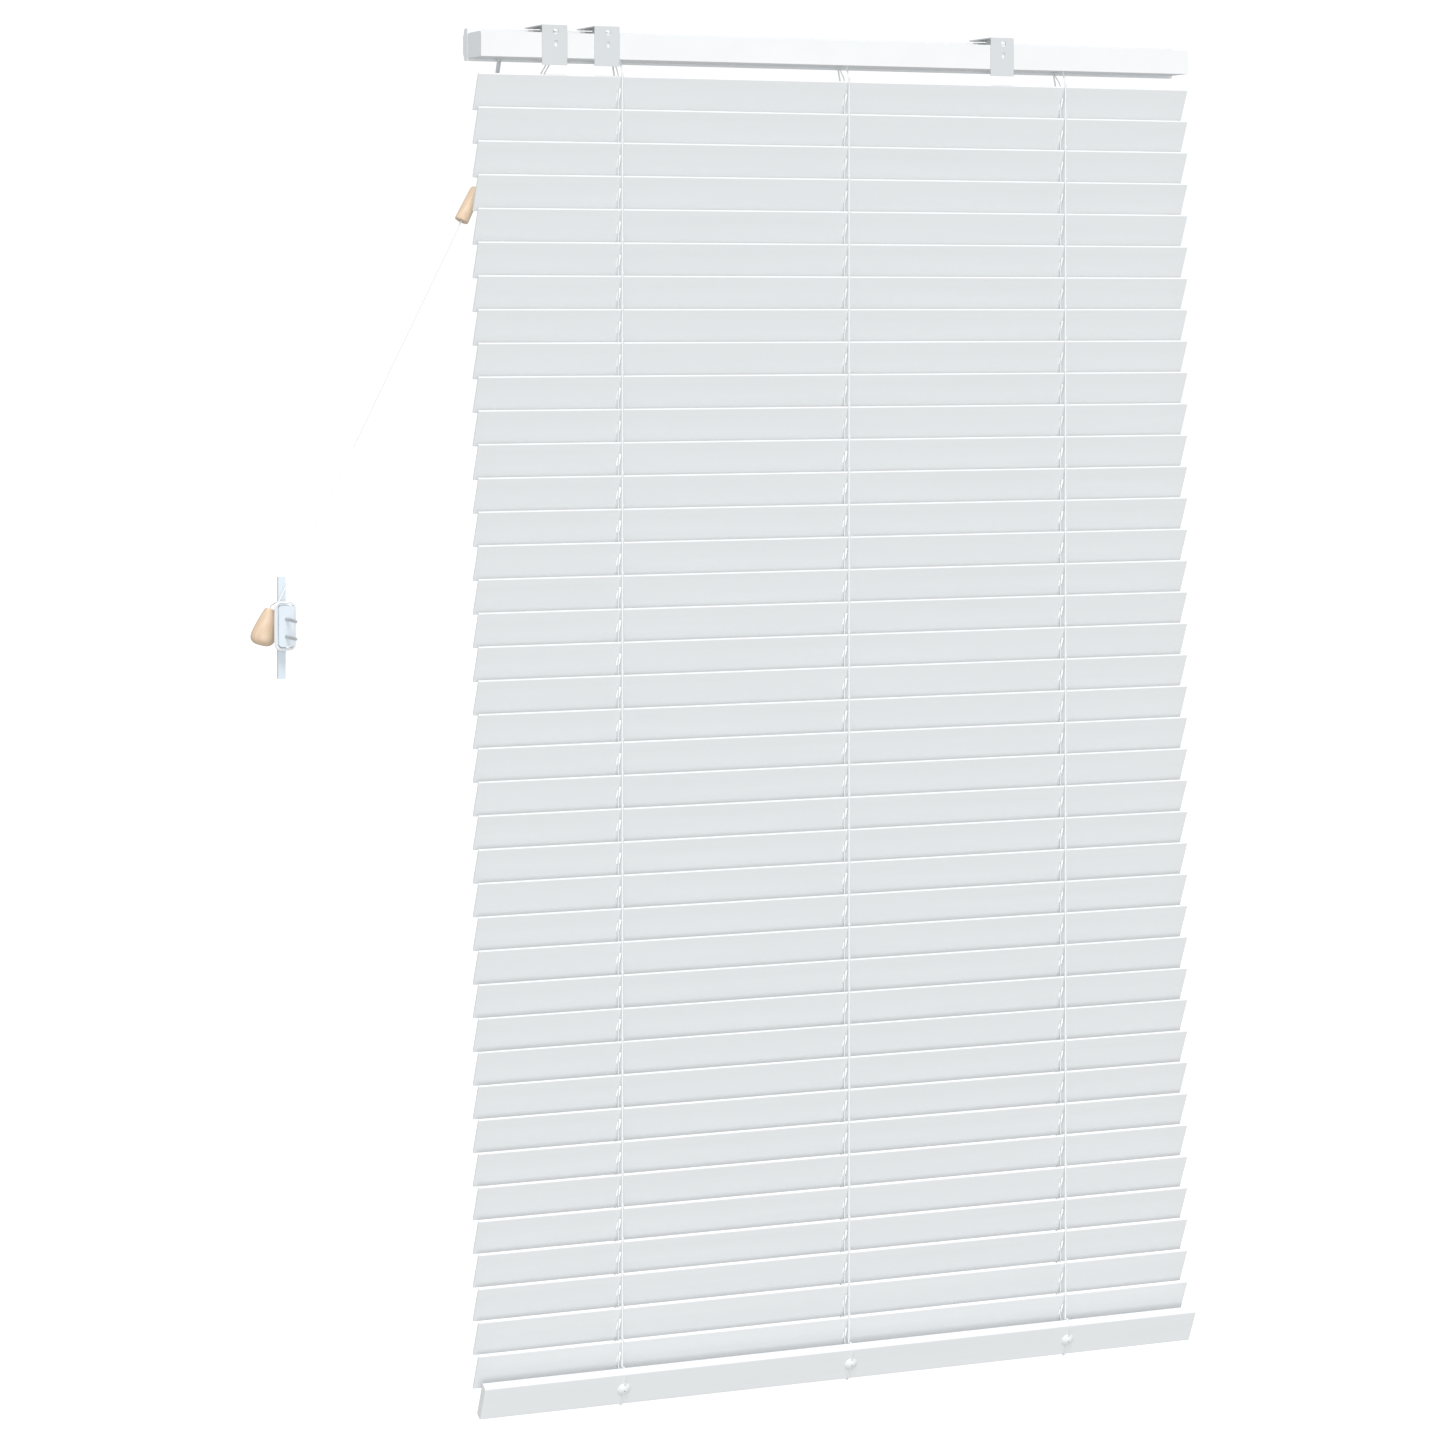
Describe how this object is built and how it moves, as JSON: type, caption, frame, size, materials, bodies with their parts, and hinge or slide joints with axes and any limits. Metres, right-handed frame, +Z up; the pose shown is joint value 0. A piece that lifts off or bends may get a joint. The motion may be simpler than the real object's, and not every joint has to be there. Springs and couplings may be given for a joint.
{
  "type": "venetian blind",
  "caption": "Wooden venetian blind with a headrail, tilting slats on ladder cords, a bottom rail, a tilt wand, and a pull cord with an acorn wound on a wall cleat.",
  "frame": {"origin": "centre of the left bracket's round screw hole, on the wall face", "axes": "+X along the headrail, +Y from the wall into the room, +Z up"},
  "size_m": [1.2901, 0.1165, 1.738],
  "materials": {
    "painted_wood": "satin white paint",
    "steel_channel": "satin",
    "bracket_metal": "satin",
    "cap_plastic": "matte",
    "inner_plastic": "matte",
    "plated_metal": "zinc plated",
    "clear_plastic": "gloss",
    "cord": "braided",
    "beech": "lacquered",
    "cleat_plastic": "satin"
  },
  "bodies": {
    "headrail": {"headrail": "steel_channel", "end_caps": "cap_plastic", "valance": "painted_wood", "mounting_brackets": "bracket_metal", "drum_cradles": "inner_plastic", "tilter_housing": "inner_plastic", "cord_lock": "inner_plastic", "ladder_and_lift_cords": "cord", "pull_cords": "cord", "cord_joiner": "beech", "acorn": "beech", "cleat": "cleat_plastic", "cleat_screws": "plated_metal"},
    "bottom_rail": {"bottom_rail": "painted_wood", "rail_buttons": "cap_plastic"},
    "tilt_shaft": {"tilt_rod": "plated_metal", "tilt_drums": "inner_plastic", "tilter_gear": "inner_plastic"},
    "worm": {"tilter_worm": "plated_metal"},
    "wand_hook": {"wand_hook": "plated_metal"},
    "wand": {"wand": "clear_plastic"},
    "slat_01": {"slat_01": "painted_wood"},
    "slat_02": {"slat_02": "painted_wood"},
    "slat_03": {"slat_03": "painted_wood"},
    "slat_04": {"slat_04": "painted_wood"},
    "slat_05": {"slat_05": "painted_wood"},
    "slat_06": {"slat_06": "painted_wood"},
    "slat_07": {"slat_07": "painted_wood"},
    "slat_08": {"slat_08": "painted_wood"},
    "slat_09": {"slat_09": "painted_wood"},
    "slat_10": {"slat_10": "painted_wood"},
    "slat_11": {"slat_11": "painted_wood"},
    "slat_12": {"slat_12": "painted_wood"},
    "slat_13": {"slat_13": "painted_wood"},
    "slat_14": {"slat_14": "painted_wood"},
    "slat_15": {"slat_15": "painted_wood"},
    "slat_16": {"slat_16": "painted_wood"},
    "slat_17": {"slat_17": "painted_wood"},
    "slat_18": {"slat_18": "painted_wood"},
    "slat_19": {"slat_19": "painted_wood"},
    "slat_20": {"slat_20": "painted_wood"},
    "slat_21": {"slat_21": "painted_wood"},
    "slat_22": {"slat_22": "painted_wood"},
    "slat_23": {"slat_23": "painted_wood"},
    "slat_24": {"slat_24": "painted_wood"},
    "slat_25": {"slat_25": "painted_wood"},
    "slat_26": {"slat_26": "painted_wood"},
    "slat_27": {"slat_27": "painted_wood"},
    "slat_28": {"slat_28": "painted_wood"},
    "slat_29": {"slat_29": "painted_wood"},
    "slat_30": {"slat_30": "painted_wood"},
    "slat_31": {"slat_31": "painted_wood"},
    "slat_32": {"slat_32": "painted_wood"},
    "slat_33": {"slat_33": "painted_wood"},
    "slat_34": {"slat_34": "painted_wood"},
    "slat_35": {"slat_35": "painted_wood"},
    "slat_36": {"slat_36": "painted_wood"},
    "slat_37": {"slat_37": "painted_wood"},
    "slat_38": {"slat_38": "painted_wood"},
    "slat_39": {"slat_39": "painted_wood"}
  },
  "joints": [
    {"name": "tilt", "type": "hinge", "parent": "headrail", "child": "bottom_rail", "pos_m": [0, 0.0179, -1.7005], "axis": [1, 0, 0], "range_deg": [0, 130], "deforming": ["ladder_and_lift_cords"]},
    {"name": "slat_01_tilt", "type": "hinge", "parent": "headrail", "child": "slat_01", "pos_m": [0, 0.0179, -0.0764], "axis": [1, 0, 0], "range_deg": [0, 130]},
    {"name": "slat_02_tilt", "type": "hinge", "parent": "headrail", "child": "slat_02", "pos_m": [0, 0.0179, -0.1184], "axis": [1, 0, 0], "range_deg": [0, 130]},
    {"name": "slat_03_tilt", "type": "hinge", "parent": "headrail", "child": "slat_03", "pos_m": [0, 0.0179, -0.1604], "axis": [1, 0, 0], "range_deg": [0, 130]},
    {"name": "slat_04_tilt", "type": "hinge", "parent": "headrail", "child": "slat_04", "pos_m": [0, 0.0179, -0.2024], "axis": [1, 0, 0], "range_deg": [0, 130]},
    {"name": "slat_05_tilt", "type": "hinge", "parent": "headrail", "child": "slat_05", "pos_m": [0, 0.0179, -0.2444], "axis": [1, 0, 0], "range_deg": [0, 130]},
    {"name": "slat_06_tilt", "type": "hinge", "parent": "headrail", "child": "slat_06", "pos_m": [0, 0.0179, -0.2864], "axis": [1, 0, 0], "range_deg": [0, 130]},
    {"name": "slat_07_tilt", "type": "hinge", "parent": "headrail", "child": "slat_07", "pos_m": [0, 0.0179, -0.3284], "axis": [1, 0, 0], "range_deg": [0, 130]},
    {"name": "slat_08_tilt", "type": "hinge", "parent": "headrail", "child": "slat_08", "pos_m": [0, 0.0179, -0.3704], "axis": [1, 0, 0], "range_deg": [0, 130]},
    {"name": "slat_09_tilt", "type": "hinge", "parent": "headrail", "child": "slat_09", "pos_m": [0, 0.0179, -0.4124], "axis": [1, 0, 0], "range_deg": [0, 130]},
    {"name": "slat_10_tilt", "type": "hinge", "parent": "headrail", "child": "slat_10", "pos_m": [0, 0.0179, -0.4544], "axis": [1, 0, 0], "range_deg": [0, 130]},
    {"name": "slat_11_tilt", "type": "hinge", "parent": "headrail", "child": "slat_11", "pos_m": [0, 0.0179, -0.4964], "axis": [1, 0, 0], "range_deg": [0, 130]},
    {"name": "slat_12_tilt", "type": "hinge", "parent": "headrail", "child": "slat_12", "pos_m": [0, 0.0179, -0.5384], "axis": [1, 0, 0], "range_deg": [0, 130]},
    {"name": "slat_13_tilt", "type": "hinge", "parent": "headrail", "child": "slat_13", "pos_m": [0, 0.0179, -0.5804], "axis": [1, 0, 0], "range_deg": [0, 130]},
    {"name": "slat_14_tilt", "type": "hinge", "parent": "headrail", "child": "slat_14", "pos_m": [0, 0.0179, -0.6224], "axis": [1, 0, 0], "range_deg": [0, 130]},
    {"name": "slat_15_tilt", "type": "hinge", "parent": "headrail", "child": "slat_15", "pos_m": [0, 0.0179, -0.6644], "axis": [1, 0, 0], "range_deg": [0, 130]},
    {"name": "slat_16_tilt", "type": "hinge", "parent": "headrail", "child": "slat_16", "pos_m": [0, 0.0179, -0.7064], "axis": [1, 0, 0], "range_deg": [0, 130]},
    {"name": "slat_17_tilt", "type": "hinge", "parent": "headrail", "child": "slat_17", "pos_m": [0, 0.0179, -0.7484], "axis": [1, 0, 0], "range_deg": [0, 130]},
    {"name": "slat_18_tilt", "type": "hinge", "parent": "headrail", "child": "slat_18", "pos_m": [0, 0.0179, -0.7904], "axis": [1, 0, 0], "range_deg": [0, 130]},
    {"name": "slat_19_tilt", "type": "hinge", "parent": "headrail", "child": "slat_19", "pos_m": [0, 0.0179, -0.8324], "axis": [1, 0, 0], "range_deg": [0, 130]},
    {"name": "slat_20_tilt", "type": "hinge", "parent": "headrail", "child": "slat_20", "pos_m": [0, 0.0179, -0.8744], "axis": [1, 0, 0], "range_deg": [0, 130]},
    {"name": "slat_21_tilt", "type": "hinge", "parent": "headrail", "child": "slat_21", "pos_m": [0, 0.0179, -0.9164], "axis": [1, 0, 0], "range_deg": [0, 130]},
    {"name": "slat_22_tilt", "type": "hinge", "parent": "headrail", "child": "slat_22", "pos_m": [0, 0.0179, -0.9584], "axis": [1, 0, 0], "range_deg": [0, 130]},
    {"name": "slat_23_tilt", "type": "hinge", "parent": "headrail", "child": "slat_23", "pos_m": [0, 0.0179, -1.0004], "axis": [1, 0, 0], "range_deg": [0, 130]},
    {"name": "slat_24_tilt", "type": "hinge", "parent": "headrail", "child": "slat_24", "pos_m": [0, 0.0179, -1.0424], "axis": [1, 0, 0], "range_deg": [0, 130]},
    {"name": "slat_25_tilt", "type": "hinge", "parent": "headrail", "child": "slat_25", "pos_m": [0, 0.0179, -1.0844], "axis": [1, 0, 0], "range_deg": [0, 130]},
    {"name": "slat_26_tilt", "type": "hinge", "parent": "headrail", "child": "slat_26", "pos_m": [0, 0.0179, -1.1264], "axis": [1, 0, 0], "range_deg": [0, 130]},
    {"name": "slat_27_tilt", "type": "hinge", "parent": "headrail", "child": "slat_27", "pos_m": [0, 0.0179, -1.1684], "axis": [1, 0, 0], "range_deg": [0, 130]},
    {"name": "slat_28_tilt", "type": "hinge", "parent": "headrail", "child": "slat_28", "pos_m": [0, 0.0179, -1.2104], "axis": [1, 0, 0], "range_deg": [0, 130]},
    {"name": "slat_29_tilt", "type": "hinge", "parent": "headrail", "child": "slat_29", "pos_m": [0, 0.0179, -1.2524], "axis": [1, 0, 0], "range_deg": [0, 130]},
    {"name": "slat_30_tilt", "type": "hinge", "parent": "headrail", "child": "slat_30", "pos_m": [0, 0.0179, -1.2944], "axis": [1, 0, 0], "range_deg": [0, 130]},
    {"name": "slat_31_tilt", "type": "hinge", "parent": "headrail", "child": "slat_31", "pos_m": [0, 0.0179, -1.3364], "axis": [1, 0, 0], "range_deg": [0, 130]},
    {"name": "slat_32_tilt", "type": "hinge", "parent": "headrail", "child": "slat_32", "pos_m": [0, 0.0179, -1.3784], "axis": [1, 0, 0], "range_deg": [0, 130]},
    {"name": "slat_33_tilt", "type": "hinge", "parent": "headrail", "child": "slat_33", "pos_m": [0, 0.0179, -1.4204], "axis": [1, 0, 0], "range_deg": [0, 130]},
    {"name": "slat_34_tilt", "type": "hinge", "parent": "headrail", "child": "slat_34", "pos_m": [0, 0.0179, -1.4624], "axis": [1, 0, 0], "range_deg": [0, 130]},
    {"name": "slat_35_tilt", "type": "hinge", "parent": "headrail", "child": "slat_35", "pos_m": [0, 0.0179, -1.5044], "axis": [1, 0, 0], "range_deg": [0, 130]},
    {"name": "slat_36_tilt", "type": "hinge", "parent": "headrail", "child": "slat_36", "pos_m": [0, 0.0179, -1.5464], "axis": [1, 0, 0], "range_deg": [0, 130]},
    {"name": "slat_37_tilt", "type": "hinge", "parent": "headrail", "child": "slat_37", "pos_m": [0, 0.0179, -1.5884], "axis": [1, 0, 0], "range_deg": [0, 130]},
    {"name": "slat_38_tilt", "type": "hinge", "parent": "headrail", "child": "slat_38", "pos_m": [0, 0.0179, -1.6304], "axis": [1, 0, 0], "range_deg": [0, 130]},
    {"name": "slat_39_tilt", "type": "hinge", "parent": "headrail", "child": "slat_39", "pos_m": [0, 0.0179, -1.6724], "axis": [1, 0, 0], "range_deg": [0, 130]},
    {"name": "shaft_turn", "type": "hinge", "parent": "headrail", "child": "tilt_shaft", "pos_m": [0, 0.0277, -0.0175], "axis": [1, 0, 0], "range_deg": [0, 225]},
    {"name": "worm_spin", "type": "hinge", "parent": "headrail", "child": "worm", "pos_m": [-0.058, 0.0482, -0.033], "axis": [0, 0.3843, -0.9232], "range_deg": [0, 3600]},
    {"name": "wand_spin", "type": "hinge", "parent": "headrail", "child": "wand_hook", "pos_m": [-0.058, 0.06088, -0.06347], "axis": [0, 0, -1], "range_deg": [0, 3600]},
    {"name": "wand_swing", "type": "hinge", "parent": "wand_hook", "child": "wand", "pos_m": [-0.058, 0.06088, -0.07947], "axis": [1, 0, 0], "range_deg": [0, 60]}
  ],
  "couplings": [
    {"joint": "slat_01_tilt", "follows": "tilt", "ratio": 1},
    {"joint": "slat_02_tilt", "follows": "tilt", "ratio": 1},
    {"joint": "slat_03_tilt", "follows": "tilt", "ratio": 1},
    {"joint": "slat_04_tilt", "follows": "tilt", "ratio": 1},
    {"joint": "slat_05_tilt", "follows": "tilt", "ratio": 1},
    {"joint": "slat_06_tilt", "follows": "tilt", "ratio": 1},
    {"joint": "slat_07_tilt", "follows": "tilt", "ratio": 1},
    {"joint": "slat_08_tilt", "follows": "tilt", "ratio": 1},
    {"joint": "slat_09_tilt", "follows": "tilt", "ratio": 1},
    {"joint": "slat_10_tilt", "follows": "tilt", "ratio": 1},
    {"joint": "slat_11_tilt", "follows": "tilt", "ratio": 1},
    {"joint": "slat_12_tilt", "follows": "tilt", "ratio": 1},
    {"joint": "slat_13_tilt", "follows": "tilt", "ratio": 1},
    {"joint": "slat_14_tilt", "follows": "tilt", "ratio": 1},
    {"joint": "slat_15_tilt", "follows": "tilt", "ratio": 1},
    {"joint": "slat_16_tilt", "follows": "tilt", "ratio": 1},
    {"joint": "slat_17_tilt", "follows": "tilt", "ratio": 1},
    {"joint": "slat_18_tilt", "follows": "tilt", "ratio": 1},
    {"joint": "slat_19_tilt", "follows": "tilt", "ratio": 1},
    {"joint": "slat_20_tilt", "follows": "tilt", "ratio": 1},
    {"joint": "slat_21_tilt", "follows": "tilt", "ratio": 1},
    {"joint": "slat_22_tilt", "follows": "tilt", "ratio": 1},
    {"joint": "slat_23_tilt", "follows": "tilt", "ratio": 1},
    {"joint": "slat_24_tilt", "follows": "tilt", "ratio": 1},
    {"joint": "slat_25_tilt", "follows": "tilt", "ratio": 1},
    {"joint": "slat_26_tilt", "follows": "tilt", "ratio": 1},
    {"joint": "slat_27_tilt", "follows": "tilt", "ratio": 1},
    {"joint": "slat_28_tilt", "follows": "tilt", "ratio": 1},
    {"joint": "slat_29_tilt", "follows": "tilt", "ratio": 1},
    {"joint": "slat_30_tilt", "follows": "tilt", "ratio": 1},
    {"joint": "slat_31_tilt", "follows": "tilt", "ratio": 1},
    {"joint": "slat_32_tilt", "follows": "tilt", "ratio": 1},
    {"joint": "slat_33_tilt", "follows": "tilt", "ratio": 1},
    {"joint": "slat_34_tilt", "follows": "tilt", "ratio": 1},
    {"joint": "slat_35_tilt", "follows": "tilt", "ratio": 1},
    {"joint": "slat_36_tilt", "follows": "tilt", "ratio": 1},
    {"joint": "slat_37_tilt", "follows": "tilt", "ratio": 1},
    {"joint": "slat_38_tilt", "follows": "tilt", "ratio": 1},
    {"joint": "slat_39_tilt", "follows": "tilt", "ratio": 1},
    {"joint": "shaft_turn", "follows": "tilt", "ratio": 1.7308},
    {"joint": "worm_spin", "follows": "tilt", "ratio": 27.692},
    {"joint": "wand_spin", "follows": "tilt", "ratio": 27.692}
  ]
}
